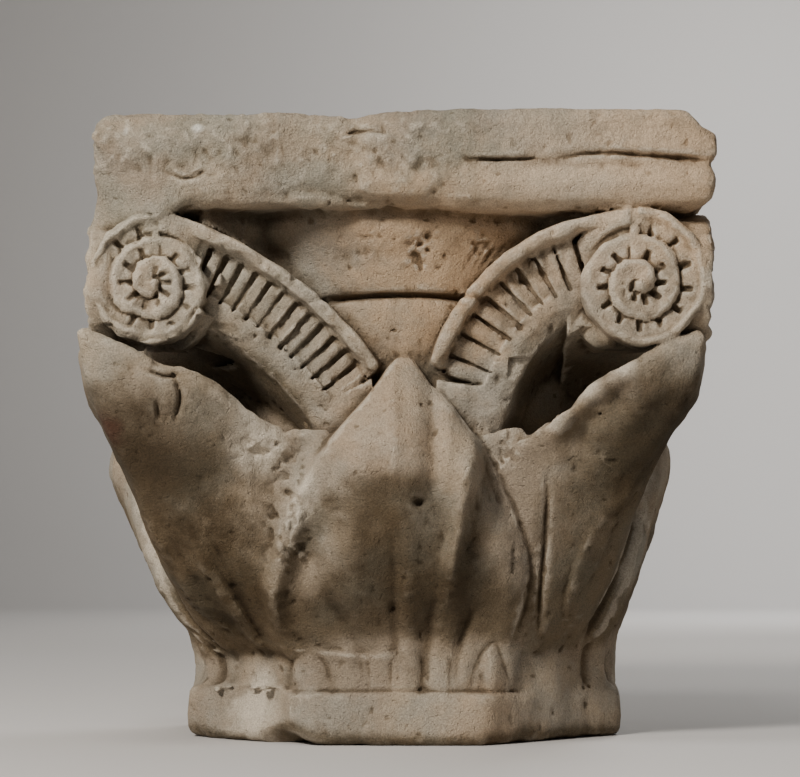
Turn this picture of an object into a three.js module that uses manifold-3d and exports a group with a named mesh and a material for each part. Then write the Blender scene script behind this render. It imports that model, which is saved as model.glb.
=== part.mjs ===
// Stone capital with corner volutes, carved from one block.
// Millimetres, +Z up. The origin is the middle of the underside, and the front face looks along -Y.
import * as THREE from 'three';
import { mergeVertices } from 'three/addons/utils/BufferGeometryUtils.js';
import Module from 'manifold-3d';

const wasm = await Module();
wasm.setup();

// Heights of the stone, from the bed up
const neckHeight = 35;
const collarHeight = 26;
const bellHeight = 307;
const rollHeight = 31;
const fasciaHeight = 32;

// Widths of the neck, the bell and the abacus
const neckFlats = 293;
const neckCornerCuts = [80, 94, 86, 84];
const neckEdgeWear = 5;
const collarRadius = 142;
const coreInset = 30;
const joinLap = 4;
const bellRadius = 150;
const lipRadius = 168;
const lipHeight = 9;
const bellGrooveDrop = 51;
const bellGrooveDepth = 6;
const bellGrooveHeight = 5;
const bellWaist = 6;
const bellFlare = 8;
const bellFlareRise = 25;
const abacusWidth = 396;
const rollBulge = 9;
const fasciaGrooveDepth = 7;
const fasciaGrooveHeight = 5;

// Volutes: a drum on each side of every corner, with a stepped spiral on its face
const voluteRadius = 40;
const voluteDrop = 47;
const voluteInset = 48;
const voluteSetback = 1;
const voluteTopRadius = 48;
const spiralPitch = 16.5;
const spiralStep = 4.5;
const spiralSides = 12;
const discThickness = 16;
const spiralRimWidth = 5;
const drumLength = 56;
const drumRadius = 30;
const drumTaper = 7;
const bossRadius = 8;
const pierWidth = 68;
const pierReach = 215;

// Stems: the banded scrolls that rise from the middle leaf to the volutes
const stemRimWidth = 11;
const stemWidth = 50;
const stemFillet = 5;
const stemFootSpacing = 13;
const stemFootDrop = 6;
const stemHeadInset = 4;
const stemDepth = 75;
const stemSplit = 0.8;
const stemChannelDepth = 8;
const stemLean = 0.24;
const slotWidth = 3.6;
const slotDepth = 4;
const slotTopGap = 2;
const slotFootGap = 3;
const slotsFrom = 0.08;
const slotsTo = 0.72;

// Leaves
const midLeafHeight = 215;
const midLeafHalfWidth = 82;
const midLeafBulge = 34;
const midLeafLift = 6;
const cornerLeafLap = 9;
const cornerLeafReach = 270;
const cornerLeafThickness = 15;
const cornerLeafHollow = 62;
const cornerLeafDip = 70;
const cornerLeafLeast = 6;
const fluteDepth = 3;

// Shares of the middle leaf's height against shares of its half width, and of its bulge
const midLeafOutline = [
  [0, 0.9], [0.12, 0.93], [0.35, 1], [0.54, 0.82], [0.66, 0.68], [0.77, 0.53], [0.85, 0.38], [0.96, 0.16],
  [1, 0.07],
];
const midLeafProfile = [
  [0, 0], [0.13, 0], [0.2, 0.05], [0.32, 0.4], [0.45, 0.66], [0.56, 0.82], [0.67, 1], [0.75, 0.92],
  [0.87, 0.5], [1, 0.1],
];

const collarTop = neckHeight + collarHeight;
const abacusBottom = neckHeight + bellHeight;
const grooveLine = abacusBottom + rollHeight;
const abacusTop = grooveLine + fasciaHeight;
const faceDistance = abacusWidth / 2;
const voluteHeight = abacusBottom - voluteDrop;
const voluteFromAxis = faceDistance - voluteInset;
const coreRadius = collarRadius - coreInset;
const quarterTurn = Math.PI / 2;
const eighthTurn = Math.PI / 4;

// Worn and broken places: a flat bite of some size, its floor lying at a depth behind a point,
// square to the direction that the bite faces.
const wornPlaces = [
  { at: [faceDistance, -faceDistance, abacusTop], faces: [0.62, -0.1, 0.78], depth: 13, size: 130 },
  { at: [-faceDistance, -faceDistance, abacusTop], faces: [-0.85, -0.15, 0.5], depth: 8, size: 120 },
  { at: [-faceDistance * 0.5, -faceDistance, abacusTop], faces: [-0.05, -0.85, 0.5], depth: 6, size: 190 },
  { at: [-faceDistance * 0.35, -faceDistance, grooveLine], faces: [0.05, -1, -0.16], depth: 5, size: 84 },
  {
    at: [-faceDistance * 0.9, -faceDistance, abacusBottom + 8],
    faces: [-0.35, -0.9, -0.2], depth: 7, size: 70,
  },
  { at: [faceDistance, -faceDistance, abacusBottom + 6], faces: [0.7, -0.5, -0.25], depth: 7, size: 60 },
  { at: [faceDistance, faceDistance, abacusTop], faces: [0.6, 0.55, 0.6], depth: 22, size: 150 },
  { at: [-faceDistance, faceDistance, abacusTop], faces: [-0.6, 0.7, 0.35], depth: 17, size: 150 },
  { at: [faceDistance, faceDistance * 0.1, abacusTop], faces: [0.8, -0.1, 0.55], depth: 7, size: 120 },
  {
    at: [-neckFlats * 0.24, -neckFlats / 2, neckHeight / 2],
    faces: [-0.42, -0.9, 0.12], depth: 5, size: 40,
  },
  { at: [neckFlats / 2, neckFlats * 0.2, neckHeight], faces: [0.8, 0.3, 0.6], depth: 6, size: 50 },
];

// Corners are counted from the front left one, anticlockwise seen from above.
// A fuller leaf swells sooner, and a larger spread carries it further out.
const corners = [
  { name: 'front left', turn: 0, fullness: 0.62, spread: 20 },
  { name: 'front right', turn: 1, fullness: 1, spread: 0 },
  { name: 'back right', turn: 2, fullness: 0.88, spread: 5 },
  { name: 'back left', turn: 3, fullness: 0.8, spread: 9 },
];

// Faces are counted from the front, anticlockwise seen from above.
// Proud moves a face's volutes out, and arch is the swell of the stem on each side.
const faces = [
  {
    turn: 0, leafBulge: 6, proud: 0,
    left: { arch: 15, shift: 9, slots: 12 }, right: { arch: 27, shift: -2, slots: 9 },
  },
  {
    turn: 1, leafBulge: -8, proud: 2,
    left: { arch: 19, shift: 0, slots: 7 }, right: { arch: 18, shift: 3, slots: 7 },
  },
  {
    turn: 2, leafBulge: -2, proud: 0,
    left: { arch: 19, shift: 2, slots: 7 }, right: { arch: 19, shift: 0, slots: 7 },
  },
  {
    turn: 3, leafBulge: 14, proud: 8,
    left: { arch: 18, shift: 1, slots: 7 }, right: { arch: 20, shift: 2, slots: 7 },
  },
];

function smoothRise(value, low, high) {
  const share = Math.min(1, Math.max(0, (value - low) / (high - low)));
  return share * share * (3 - 2 * share);
}

// Reads a curve given by a few [place, value] knots, with eased stretches between them.
function alongKnots(knots, place) {
  let value = knots[0][1];
  for (let index = 1; index < knots.length; index += 1) {
    const [start, before] = knots[index - 1];
    const [end, after] = knots[index];
    if (place >= end) value = after;
    else if (place > start) value = before + (after - before) * ((place - start) / (end - start));
  }
  return value;
}

// Makes a solid from any closed three.js geometry.
function toSolid(geometry) {
  const bare = geometry.index ? geometry.toNonIndexed() : geometry.clone();
  bare.deleteAttribute('normal');
  bare.deleteAttribute('uv');
  const merged = mergeVertices(bare, 1e-3);
  const places = merged.attributes.position.array;
  const corner = merged.index.array;
  const kept = [];
  let volume = 0;
  const a = new THREE.Vector3();
  const b = new THREE.Vector3();
  const c = new THREE.Vector3();
  for (let index = 0; index < corner.length; index += 3) {
    const [i, j, k] = [corner[index], corner[index + 1], corner[index + 2]];
    if (i === j || j === k || k === i) continue;
    kept.push(i, j, k);
    a.fromArray(places, 3 * i);
    b.fromArray(places, 3 * j);
    c.fromArray(places, 3 * k);
    volume += a.dot(b.cross(c));
  }
  if (volume < 0) kept.reverse();
  return new wasm.Manifold(new wasm.Mesh({
    numProp: 3,
    vertProperties: new Float32Array(places),
    triVerts: new Uint32Array(kept),
  }));
}

function toGeometry(solid) {
  const mesh = solid.getMesh();
  const geometry = new THREE.BufferGeometry();
  geometry.setAttribute('position', new THREE.BufferAttribute(mesh.vertProperties, 3));
  geometry.setIndex(new THREE.BufferAttribute(mesh.triVerts, 1));
  geometry.computeVertexNormals();
  return geometry;
}

// Joins sections, each a loop with as many points, into one closed body.
function loft(sections, capOutline) {
  const count = sections[0].length;
  const places = [];
  const faceCorners = [];
  for (const section of sections) {
    for (const point of section) places.push(point.x, point.y, point.z);
  }
  for (let step = 0; step < sections.length - 1; step += 1) {
    for (let index = 0; index < count; index += 1) {
      const next = (index + 1) % count;
      const here = step * count;
      const there = here + count;
      faceCorners.push(here + index, here + next, there + next);
      faceCorners.push(here + index, there + next, there + index);
    }
  }
  const last = (sections.length - 1) * count;
  for (const [i, j, k] of THREE.ShapeUtils.triangulateShape(capOutline(sections[0]), [])) {
    faceCorners.push(k, j, i);
  }
  const lastOutline = capOutline(sections[sections.length - 1]);
  for (const [i, j, k] of THREE.ShapeUtils.triangulateShape(lastOutline, [])) {
    faceCorners.push(last + i, last + j, last + k);
  }
  const geometry = new THREE.BufferGeometry();
  geometry.setAttribute('position', new THREE.Float32BufferAttribute(places, 3));
  geometry.setIndex(faceCorners);
  return geometry;
}

// Plan radius of the leaves at an angle from a face's middle, 0, to its corner, an eighth turn.
function leafRadius(angle, height, corner) {
  const flare = alongKnots([
    [collarTop, 0],
    [collarTop + 40, 0.26],
    [collarTop + 85, 0.47],
    [collarTop + 120, 0.6],
    [collarTop + 140, 0.75],
    [collarTop + 165, 0.93],
    [collarTop + 201, 1],
  ], height);
  const rise = smoothRise(height, collarTop, collarTop + 140);
  const towardsCorner = Math.max(0, eighthTurn - angle) / eighthTurn;
  const cornerRounding = 0.1;
  const share = 1 - Math.hypot(towardsCorner, cornerRounding) + cornerRounding;
  const middle = collarRadius + 9 * rise;
  const atCorner = (cornerLeafReach + corner.spread - collarRadius) * flare ** corner.fullness;
  return middle + (collarRadius + atCorner - middle) * share ** 2.1;
}

// Height of the corner leaf's upper edge at an angle from the face's middle.
function leafEdgeHeight(angle) {
  const degrees = THREE.MathUtils.radToDeg(angle);
  const top = voluteHeight - voluteRadius + cornerLeafLap;
  const steepShare = smoothRise(degrees, 28, 35);
  const lowShare = smoothRise(degrees, 10, 27);
  const tipShare = smoothRise(degrees, 35, 45);
  return top - cornerLeafDip + cornerLeafDip * (0.17 * lowShare + 0.5 * steepShare + 0.33 * tipShare);
}

function polar(radius, angle, height) {
  return new THREE.Vector3(radius * Math.sin(angle), -radius * Math.cos(angle), height);
}

// The corner leaf stands free of the bell behind its upper edge.
function cornerLeaf(corner) {
  const across = 14;
  const up = 8;
  const sections = [];
  for (let step = 0; step <= across; step += 1) {
    const angle = (step / across - 0.5) * 1.9 * eighthTurn;
    const fromFace = eighthTurn - Math.abs(angle);
    const edge = leafEdgeHeight(fromFace);
    const flute = Math.abs(Math.cos(angle * 10));
    const section = [];
    for (let level = 0; level <= up; level += 1) {
      const height = neckHeight - joinLap + (edge - neckHeight + joinLap) * (level / up);
      const fluteFade = 1 - smoothRise(height, edge - 90, edge - 20);
      const radius = leafRadius(fromFace, height, corner) - fluteDepth * fluteFade * (1 - flute);
      section.push([radius, height]);
    }
    const rim = leafRadius(fromFace, edge, corner);
    section.push([rim - cornerLeafThickness * 0.45, edge + 3]);
    section.push([rim - cornerLeafThickness, edge - 2]);
    const mid = leafRadius(fromFace, edge - cornerLeafHollow / 2, corner);
    const deep = leafRadius(fromFace, edge - cornerLeafHollow, corner);
    const midWall = Math.max(bellRadius - 12, mid - cornerLeafThickness * 1.2);
    const deepWall = Math.max(bellRadius - 14, deep - cornerLeafThickness * 2);
    section.push([Math.min(midWall, mid - cornerLeafLeast), edge - cornerLeafHollow / 2]);
    section.push([Math.min(deepWall, deep - cornerLeafLeast), edge - cornerLeafHollow]);
    section.push([coreRadius, edge - cornerLeafHollow]);
    section.push([coreRadius, neckHeight - joinLap]);
    const turn = corner.turn * quarterTurn - eighthTurn + angle;
    sections.push(section.map(([radius, height]) => polar(radius, turn, height)));
  }
  return toSolid(loft(sections, (section) => section.map((point) => (
    new THREE.Vector2(Math.hypot(point.x, point.y), point.z)
  ))));
}

// The middle leaf lies over its two neighbours and ends in a point on the bell.
function middleLeaf(face) {
  const up = 12;
  const across = 10;
  const sections = [];
  for (let level = 0; level <= up; level += 1) {
    const share = level / up;
    const height = neckHeight - joinLap + (midLeafHeight + joinLap) * share;
    const halfWidth = midLeafHalfWidth * alongKnots(midLeafOutline, share);
    const bulge = (midLeafBulge + face.leafBulge) * alongKnots(midLeafProfile, share);
    let halfAngle = 0;
    for (let pass = 0; pass < 6; pass += 1) {
      halfAngle = Math.asin(halfWidth / (leafRadius(halfAngle, height, corners[1]) + midLeafLift));
    }
    const section = [];
    for (let step = 0; step <= across; step += 1) {
      const side = 2 * step / across - 1;
      const angle = side * halfAngle;
      const corner = corners[(face.turn + (side > 0 ? 1 : 0)) % 4];
      const crown = (1 - side * side) ** 0.8;
      const flute = Math.abs(Math.cos(side * Math.PI * 2.5));
      const fold = fluteDepth * (1 - flute) * (1 - smoothRise(share, 0.5, 0.8));
      const radius = leafRadius(Math.abs(angle), height, corner) + midLeafLift + bulge * crown - fold;
      section.push(polar(radius, face.turn * quarterTurn + angle, height));
    }
    section.push(polar(coreRadius, face.turn * quarterTurn + halfAngle * 0.8, height));
    section.push(polar(coreRadius, face.turn * quarterTurn - halfAngle * 0.8, height));
    sections.push(section);
  }
  return toSolid(loft(sections, (section) => section.map((point) => new THREE.Vector2(point.x, point.y))));
}

// Turns an outline drawn on a face, x to the right and y up, into a block reaching out to the face.
function onFace(shape, from, to, lean, curveSegments) {
  const depth = to - from;
  const geometry = new THREE.ExtrudeGeometry(shape, { depth, bevelEnabled: false, curveSegments });
  geometry.rotateX(quarterTurn);
  geometry.translate(0, -from, 0);
  const places = geometry.attributes.position;
  for (let index = 0; index < places.count; index += 1) {
    const drop = voluteHeight + voluteTopRadius - places.getZ(index);
    places.setY(index, places.getY(index) + lean * drop);
  }
  return toSolid(geometry);
}

// Radius of the scroll's edge after some turns, counted from the top of the volute.
function spiralRadius(turns) {
  return voluteTopRadius - spiralPitch * turns;
}

// A point of the scroll's edge. hand is 1 on a face's right side and -1 on its left.
function spiralPoint(turns, inset, centre, hand) {
  const angle = quarterTurn * (1 - 4 * turns);
  const radius = spiralRadius(turns) - inset;
  const x = centre + hand * radius * Math.cos(angle);
  return new THREE.Vector2(x, voluteHeight + radius * Math.sin(angle));
}

// One turn of the spiral, closed by the step where the next turn begins.
function spiralTurn(first, centre, hand) {
  const points = [];
  for (let step = 0; step <= spiralSides; step += 1) {
    points.push(spiralPoint(first + step / spiralSides, 0, centre, hand));
  }
  return new THREE.Shape(points);
}

// The raised edge that carries on from the stem's rim round the outer turn.
function spiralRim(centre, hand) {
  const points = [];
  const last = spiralSides - 3;
  for (let step = 0; step <= last; step += 1) points.push(spiralPoint(step / spiralSides, 0, centre, hand));
  for (let step = last; step >= 0; step -= 1) {
    points.push(spiralPoint(step / spiralSides, spiralRimWidth, centre, hand));
  }
  return new THREE.Shape(points);
}

function voluteCentre(side) {
  return voluteFromAxis + side.shift;
}

// The drum behind a volute grows thinner towards the stone behind it.
function drum(centre, front) {
  const profile = [
    [0, 0],
    [drumRadius - drumTaper, 0],
    [drumRadius, drumLength],
    [0, drumLength],
  ];
  const lathe = new THREE.LatheGeometry(profile.map(([r, y]) => new THREE.Vector2(r, -y)), 14);
  lathe.translate(centre, -(front - drumLength), voluteHeight);
  return toSolid(lathe);
}

function volute(face, hand) {
  const centre = hand * voluteCentre(hand > 0 ? face.right : face.left);
  const front = faceDistance - voluteSetback + face.proud;
  const floor = front - 2 * spiralStep;
  let solid = drum(centre, floor - discThickness / 2);
  for (const turn of [0, 1]) {
    const level = floor + turn * spiralStep;
    solid = solid.add(onFace(spiralTurn(turn, centre, hand), floor - discThickness, level, 0, 1));
  }
  solid = solid.add(onFace(spiralRim(centre, hand), floor - discThickness, floor + spiralStep, 0, 1));
  const boss = new THREE.Shape();
  boss.absarc(centre, voluteHeight, bossRadius, 0, 4 * quarterTurn, false);
  return solid.add(onFace(boss, floor - discThickness, front, 0, 4));
}

// Outline of a stem's outer edge moved inwards by inset, from its foot to the top of the volute.
function stemCurve(face, hand, inset) {
  const side = hand > 0 ? face.right : face.left;
  const foot = new THREE.Vector2(stemFootSpacing, neckHeight + midLeafHeight - stemFootDrop);
  const head = new THREE.Vector2(voluteCentre(side) - stemHeadInset, voluteHeight + voluteTopRadius);
  const along = head.clone().sub(foot);
  const normal = new THREE.Vector2(-along.y, along.x).normalize();
  const middle = foot.clone().add(head).multiplyScalar(0.5).addScaledVector(normal, 2 * side.arch);
  return (share) => {
    const rest = 1 - share;
    const point = foot.clone().multiplyScalar(rest * rest);
    point.addScaledVector(middle, 2 * rest * share).addScaledVector(head, share * share);
    const tangent = middle.clone().sub(foot).multiplyScalar(rest);
    tangent.addScaledVector(head.clone().sub(middle), share).normalize();
    point.add(new THREE.Vector2(tangent.y, -tangent.x).multiplyScalar(inset));
    return new THREE.Vector2(hand * point.x, point.y);
  };
}

// A band between two insets from the stem's outer edge. Past the split only the rim goes on.
function bandShape(face, hand, { outer, inner, from, to, split = to }) {
  const steps = 10;
  const points = [];
  const outerEdge = stemCurve(face, hand, outer);
  const innerEdge = stemCurve(face, hand, inner);
  const rimEdge = stemCurve(face, hand, stemRimWidth);
  for (let step = 0; step <= steps; step += 1) points.push(outerEdge(from + (to - from) * step / steps));
  if (split < to) points.push(rimEdge(to), rimEdge((to + split) / 2), rimEdge(split));
  for (let step = steps; step >= 0; step -= 1) {
    points.push(innerEdge(from + (split - from) * step / steps));
  }
  return new THREE.Shape(points);
}

function stem(face, hand) {
  const front = faceDistance - voluteSetback + face.proud - spiralStep;
  const back = front - stemDepth;
  const floor = front - stemChannelDepth;
  const band = bandShape(face, hand, { outer: 0, inner: stemWidth, from: 0, to: 1, split: stemSplit });
  let solid = onFace(band, back, front, stemLean, 1);
  const channel = bandShape(face, hand, {
    outer: stemRimWidth, inner: stemWidth - stemFillet, from: -0.05, to: stemSplit + 0.03,
  });
  solid = solid.subtract(onFace(channel, floor, front + 20, stemLean, 1));
  const count = (hand > 0 ? face.right : face.left).slots;
  const top = stemCurve(face, hand, stemRimWidth + slotTopGap);
  const bottom = stemCurve(face, hand, stemWidth - stemFillet - slotFootGap);
  for (let index = 0; index < count; index += 1) {
    const share = slotsFrom + (slotsTo - slotsFrom) * index / (count - 1);
    const start = top(share);
    const end = bottom(share);
    const across = end.clone().sub(start).normalize();
    const halfSlot = new THREE.Vector2(-across.y, across.x).multiplyScalar(slotWidth / 2);
    const corner = [
      start.clone().add(halfSlot), end.clone().add(halfSlot), end.sub(halfSlot), start.sub(halfSlot),
    ];
    solid = solid.subtract(onFace(new THREE.Shape(corner), floor - slotDepth, front, stemLean, 1));
  }
  return solid;
}

function bell() {
  const grooveHeight = abacusBottom - bellGrooveDrop;
  const profile = [
    [0, neckHeight - 2],
    [collarRadius - 2, neckHeight - 2],
    [collarRadius - 2, collarTop + 60],
    [bellRadius - bellWaist, collarTop + 130],
    [bellRadius, grooveHeight - bellGrooveHeight],
    [bellRadius - bellGrooveDepth, grooveHeight],
    [bellRadius + 2, grooveHeight + 1],
    [bellRadius + bellFlare, grooveHeight + bellFlareRise],
    [lipRadius, abacusBottom - lipHeight],
    [lipRadius - 1, abacusBottom + joinLap],
    [0, abacusBottom + joinLap],
  ];
  const points = profile.map(([r, z]) => new THREE.Vector2(r, z));
  return toSolid(new THREE.LatheGeometry(points, 40).rotateX(quarterTurn));
}

function neck() {
  const flat = neckFlats / 2;
  const [frontLeft, frontRight, backRight, backLeft] = neckCornerCuts;
  const outline = new THREE.Shape();
  outline.moveTo(-flat + frontLeft, -flat);
  outline.lineTo(flat - frontRight, -flat);
  outline.lineTo(flat, -flat + frontRight);
  outline.lineTo(flat, flat - backRight);
  outline.lineTo(flat - backRight, flat);
  outline.lineTo(-flat + backLeft, flat);
  outline.lineTo(-flat, flat - backLeft);
  outline.lineTo(-flat, -flat + frontLeft);
  const geometry = new THREE.ExtrudeGeometry(outline, {
    depth: neckHeight - 2 * neckEdgeWear,
    bevelThickness: neckEdgeWear,
    bevelSize: neckEdgeWear,
    bevelOffset: -neckEdgeWear,
    bevelSegments: 2,
  });
  geometry.translate(0, 0, neckEdgeWear);
  return toSolid(geometry);
}

// A square slab with rounded corners and the profile of the roll and the fascia.
function abacus() {
  const toCorner = Math.SQRT2;
  const profile = [
    [0, abacusBottom],
    [faceDistance - rollBulge - 6, abacusBottom],
    [faceDistance - 4, abacusBottom + rollHeight * 0.2],
    [faceDistance - 1, abacusBottom + rollHeight * 0.5],
    [faceDistance - 4, abacusBottom + rollHeight * 0.82],
    [faceDistance - fasciaGrooveDepth, grooveLine - fasciaGrooveHeight / 2],
    [faceDistance - 1, grooveLine + fasciaGrooveHeight / 2],
    [faceDistance, abacusTop - 5],
    [faceDistance - 5, abacusTop],
    [0, abacusTop],
  ];
  const square = new THREE.LatheGeometry(
    profile.map(([r, z]) => new THREE.Vector2(r * toCorner, z)), 4,
  ).rotateX(quarterTurn).rotateZ(eighthTurn);
  return toSolid(square);
}

// The uncut stone behind a corner's two volutes.
function cornerPier(corner) {
  const bottom = voluteHeight - voluteRadius;
  const height = abacusBottom + joinLap - bottom;
  const reach = pierReach - coreRadius;
  const block = new THREE.BoxGeometry(pierWidth, reach, height);
  block.translate(0, -coreRadius - reach / 2, bottom + height / 2);
  block.rotateZ(corner.turn * quarterTurn - eighthTurn);
  return toSolid(block);
}

// The quarter of the stone that belongs to the front face, out to both corners.
function faceWedge() {
  const reach = abacusWidth;
  const plan = new THREE.Shape([
    new THREE.Vector2(0, 0), new THREE.Vector2(-reach, -reach), new THREE.Vector2(reach, -reach),
  ]);
  return toSolid(new THREE.ExtrudeGeometry(plan, { depth: abacusTop, bevelEnabled: false }));
}

function wornPlace({ at, faces: direction, depth, size }) {
  const outward = new THREE.Vector3(...direction).normalize();
  const block = new THREE.BoxGeometry(size, size, size);
  block.translate(0, 0, size / 2);
  const sideways = new THREE.Vector3(0, 0, 1).cross(outward).normalize();
  const upward = outward.clone().cross(sideways);
  block.applyMatrix4(new THREE.Matrix4().makeBasis(sideways, upward, outward));
  const floor = new THREE.Vector3(...at).addScaledVector(outward, -depth);
  block.translate(floor.x, floor.y, floor.z);
  return toSolid(block);
}

// On the front left the moulding has broken away, and rough stone runs down to the volute.
function brokenMoulding() {
  const behindFace = 4;
  const left = -faceDistance + 1;
  const right = faceDistance * 0.28;
  const slab = new THREE.BoxGeometry(right - left, 40, rollHeight + 4);
  slab.translate((left + right) / 2, -faceDistance + behindFace + 20, grooveLine + 2);
  const volute = -voluteCentre(faces[0].left);
  const runDown = new THREE.Shape([
    new THREE.Vector2(left, abacusBottom + 8),
    new THREE.Vector2(left - 4, voluteHeight + voluteTopRadius * 0.45),
    new THREE.Vector2(volute - voluteRadius * 0.6, voluteHeight + voluteTopRadius * 0.62),
    new THREE.Vector2(volute + voluteRadius * 0.2, voluteHeight + voluteTopRadius * 0.86),
    new THREE.Vector2(volute + voluteRadius * 0.6, abacusBottom + 8),
  ]);
  return toSolid(slab).add(onFace(runDown, faceDistance - 62, faceDistance - behindFace / 2, 0, 1));
}

let stone = bell().add(neck()).add(abacus()).add(brokenMoulding());
for (const corner of corners) stone = stone.add(cornerLeaf(corner)).add(cornerPier(corner));
for (const face of faces) stone = stone.add(middleLeaf(face));

const group = new THREE.Group();
const sandstone = new THREE.MeshStandardMaterial({ color: 0x9a8873, roughness: 0.95, metalness: 0 });
for (const face of faces) {
  for (const hand of [-1, 1]) {
    const scroll = volute(face, hand).add(stem(face, hand)).intersect(faceWedge());
    stone = stone.add(scroll.rotate([0, 0, face.turn * 90]));
  }
}

for (const place of wornPlaces) stone = stone.subtract(wornPlace(place));

const capital = new THREE.Mesh(toGeometry(stone), sandstone);
capital.name = 'capital';
group.add(capital);

export default group;
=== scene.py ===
"""A carved stone capital, weathered and chipped: the finished stone around the plain solid."""
import math

import bpy
import numpy as np
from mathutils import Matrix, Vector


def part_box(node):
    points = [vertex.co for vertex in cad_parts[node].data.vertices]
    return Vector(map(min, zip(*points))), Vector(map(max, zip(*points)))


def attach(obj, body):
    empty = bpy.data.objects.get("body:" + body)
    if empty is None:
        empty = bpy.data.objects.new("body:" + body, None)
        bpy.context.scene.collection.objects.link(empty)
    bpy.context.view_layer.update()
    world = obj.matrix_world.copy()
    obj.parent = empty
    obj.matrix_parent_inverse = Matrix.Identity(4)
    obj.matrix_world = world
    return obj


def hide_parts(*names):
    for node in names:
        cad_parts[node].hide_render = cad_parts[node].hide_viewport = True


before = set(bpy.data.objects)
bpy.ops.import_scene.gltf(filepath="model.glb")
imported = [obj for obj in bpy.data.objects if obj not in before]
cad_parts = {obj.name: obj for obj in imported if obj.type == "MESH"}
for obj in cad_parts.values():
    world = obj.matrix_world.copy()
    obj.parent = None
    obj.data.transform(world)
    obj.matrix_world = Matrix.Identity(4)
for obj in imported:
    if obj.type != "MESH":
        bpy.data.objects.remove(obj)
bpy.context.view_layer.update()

import openvdb as vdb
from mathutils import Euler, Vector

# Sizes in metres
MM = 0.001
CELL = 1.25 * MM
BAND = 12 * MM
MOST_TRIANGLES = 196000
LOW, HIGH = (Vector(corner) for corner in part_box("capital"))
ABACUS_HALF = 198 * MM
CORE_FACE = 112 * MM
BELL_FACE = 181 * MM
NECK_CORNER = 150.8 * MM
NECK_TOP = 35.5 * MM

# The volutes and the stems that end in them, seen from outside a face with x to the right
VOLUTE_HEIGHT = 295 * MM
VOLUTE_FACE = 197 * MM
VOLUTE_DEPTH = 28 * MM
STEM_TOP = 343 * MM
STEM_FACE = 192.5 * MM
STEM_LEAN = 0.24
STEM_WIDTH = 50 * MM
STEM_RIM = 11 * MM
STEM_FOOT = (13 * MM, 244 * MM)
SPIRAL_STEP = 4.0 * MM
SLOTS_FROM, SLOTS_TO = 0.07, 0.78

# Places for the stone's colours, and for painted shade over the leaves: a centre and a radius in
# millimetres, and a strength
WARM_PLACES = (
    ((185, -190, 368), 95, 0.8), ((30, -165, 315), 90, 0.75),
    ((-10, -190, 215), 70, 0.3), ((60, -150, 4), 60, 0.4),
)
LIGHT_PLACES = (((120, -190, 362), 100, 0.45),)
# painted shade over the lower, outward-leaning parts of the leaves
PAINTED_SHADE_PLACES = (
    ((-150, -165, 190), 95, 0.8), ((-110, -140, 105), 75, 0.85),
    ((150, -165, 200), 88, 0.85), ((15, -185, 108), 82, 0.75),
)
BROKEN_PLACES = (
    ((-66, -195, 163), 30, 0.85), ((-92, -180, 192), 26, 0.85), ((66, -182, 190), 22, 0.85),
    ((-76, -190, 138), 20, 0.85), ((-80, -185, 112), 18, 0.85), ((-104, -180, 213), 15, 0.85),
    ((118, -180, 229), 15, 0.85), ((98, -175, 210), 14, 0.85), ((138, -187, 241), 13, 0.85),
    ((-98, -108, 22), 30, 0.85),
)
STAINS = (((-186, -185, 205), 18, 0.75),)
PALE_SPOTS = (((-131, -198, 394), 6, 0.9), ((-129, -198, 401), 4, 0.9), ((-177, -198, 391), 4, 0.9))


class Scroll:
    """A volute with its stem: its hand, its centre's distance from the face's middle, the swell of
    the stem, how many slots cross it and how far its bands tilt, the spiral's size and its wear."""

    def __init__(self, hand, centre, arch, slots, tilt, radius, pitch, wear):
        self.hand = hand
        self.centre = centre * MM
        self.arch = arch * MM
        self.slots = slots
        self.tilt = tilt * MM
        self.radius = radius * MM
        self.pitch = pitch * MM
        self.wear = wear


class Face:
    """One of the four faces: its quarter turns, how far it stands proud, and its two volutes."""

    def __init__(self, turn, proud, left, right):
        self.turn = turn
        self.proud = proud * MM
        self.scrolls = (Scroll(-1, *left), Scroll(1, *right))


FACES = (
    Face(0, 0, (160, 15, 12, 2.4, 44, 14, 1.5), (148.4, 27, 9, 1.0, 48, 16.5, 1.0)),
    Face(1, 2, (150, 19, 8, 1.6, 47, 16, 1.8), (153, 18, 8, 1.6, 46, 16, 1.5)),
    Face(2, 0, (152, 19, 8, 1.6, 46, 16, 1.6), (150, 19, 8, 1.6, 47, 16, 2.0)),
    Face(3, 8, (151, 18, 8, 1.6, 45, 15, 2.0), (152, 20, 8, 1.6, 46, 16, 1.6)),
)


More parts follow.
